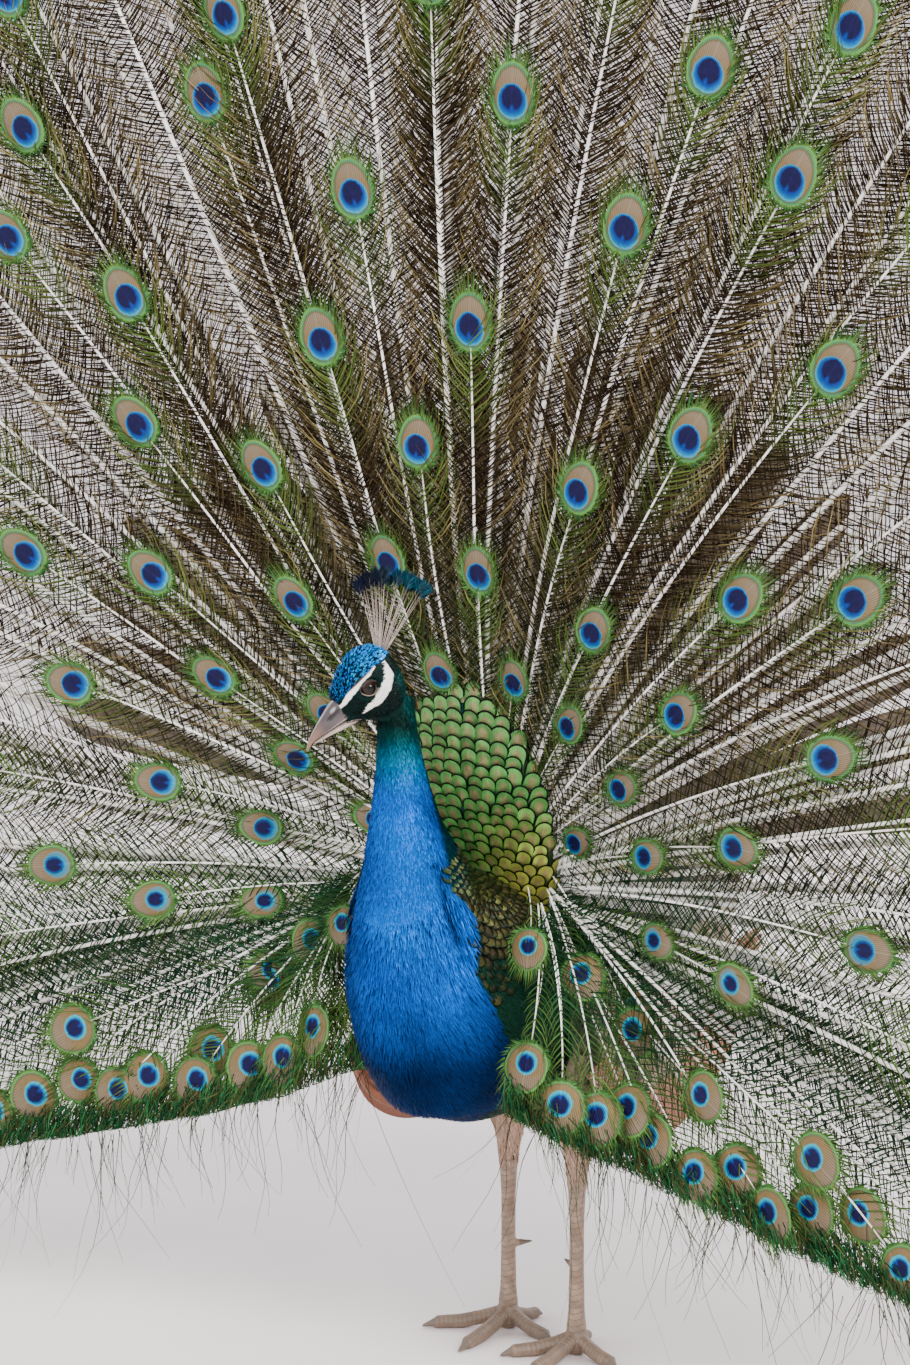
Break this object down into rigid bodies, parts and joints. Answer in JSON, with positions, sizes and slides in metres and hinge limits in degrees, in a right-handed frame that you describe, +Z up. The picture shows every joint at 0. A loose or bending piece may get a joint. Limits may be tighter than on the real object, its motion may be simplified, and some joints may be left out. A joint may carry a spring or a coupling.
{
  "type": "displaying peacock museum model",
  "caption": "Life-size still model of a male Indian peafowl standing in display, its long train of eyed feathers raised in a full fan behind a blue neck and breast.",
  "frame": {"origin": "on the floor, below the middle of the whole bird's box", "axes": "+Z up, -Y the way the bird faces, +X to the bird's left"},
  "size_m": [2.4796, 0.5966, 1.66],
  "materials": {
    "plumage_blue": "short iridescent body feathers, bright blue with a teal sheen",
    "plumage_scale": "stiff overlapping scale feathers, metallic green with bronze centres and dark rims",
    "plumage_train": "loose-barbed train feathers with pale shafts and blue, turquoise and bronze eyes",
    "plumage_dark": "dark barred wing coverts with a bronze sheen",
    "plumage_rufous": "smooth chestnut flight feathers",
    "plumage_brown": "grey-brown tail feathers and soft down",
    "plumage_buff": "short pale buff leg feathers",
    "leg_skin": "dry scaly grey-beige leg skin",
    "horn": "satin grey-pink horn of bill, claws and spurs",
    "eye": "wet dark brown eye"
  },
  "bodies": {
    "root": {"trunk": "plumage_blue", "neck": "plumage_blue", "head": "plumage_blue", "bill_upper": "horn", "bill_lower": "horn", "crest": "plumage_blue", "back": "plumage_scale", "rump": "plumage_brown", "undertail": "plumage_brown", "train_middle": "plumage_train", "eye_left": "eye", "wing_left": "plumage_dark", "primaries_left": "plumage_rufous", "thigh_left": "plumage_buff", "shank_left": "leg_skin", "spur_left": "horn", "foot_left": "leg_skin", "train_left_1": "plumage_train", "train_left_2": "plumage_train", "train_left_3": "plumage_train", "train_left_4": "plumage_train", "train_left_5": "plumage_train", "train_left_6": "plumage_train", "eye_right": "eye", "wing_right": "plumage_dark", "primaries_right": "plumage_rufous", "thigh_right": "plumage_buff", "shank_right": "leg_skin", "spur_right": "horn", "foot_right": "leg_skin", "train_right_1": "plumage_train", "train_right_2": "plumage_train", "train_right_3": "plumage_train", "train_right_4": "plumage_train", "train_right_5": "plumage_train", "train_right_6": "plumage_train", "tail_right_outer": "plumage_brown", "tail_right_inner": "plumage_brown", "tail_left_inner": "plumage_brown", "tail_left_outer": "plumage_brown"}
  },
  "joints": []
}
